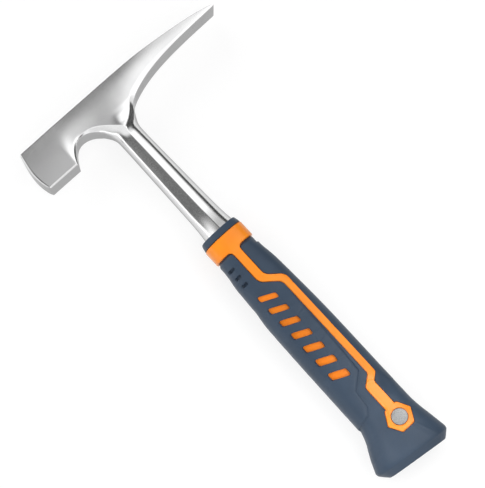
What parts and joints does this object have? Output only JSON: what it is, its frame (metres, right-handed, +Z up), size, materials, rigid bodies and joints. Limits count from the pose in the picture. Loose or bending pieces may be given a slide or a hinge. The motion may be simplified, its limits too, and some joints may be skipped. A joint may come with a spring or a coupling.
{
  "type": "brick hammer",
  "caption": "One-piece forged steel brick hammer with a square crowned poll, a drooping chisel blade and a moulded grip with a flared butt, lying on its side.",
  "frame": {"origin": "middle of the footprint on the ground, with the hammer lying on its side", "axes": "+X from the poll to the blade, +Y from the butt to the head, +Z up through the thickness of the tool"},
  "size_m": [0.144, 0.2822, 0.0307],
  "materials": {
    "polished_steel": "polished forged steel",
    "slate_rubber": "fine matt soft-touch rubber",
    "orange_plastic": "satin moulded plastic",
    "rivet_steel": "satin steel"
  },
  "bodies": {
    "root": {"forged_body": "polished_steel", "front_ring": "slate_rubber", "grip_core": "orange_plastic", "grip_skin": "slate_rubber", "rivet_stud": "rivet_steel", "rivet_cap": "rivet_steel"}
  },
  "joints": []
}
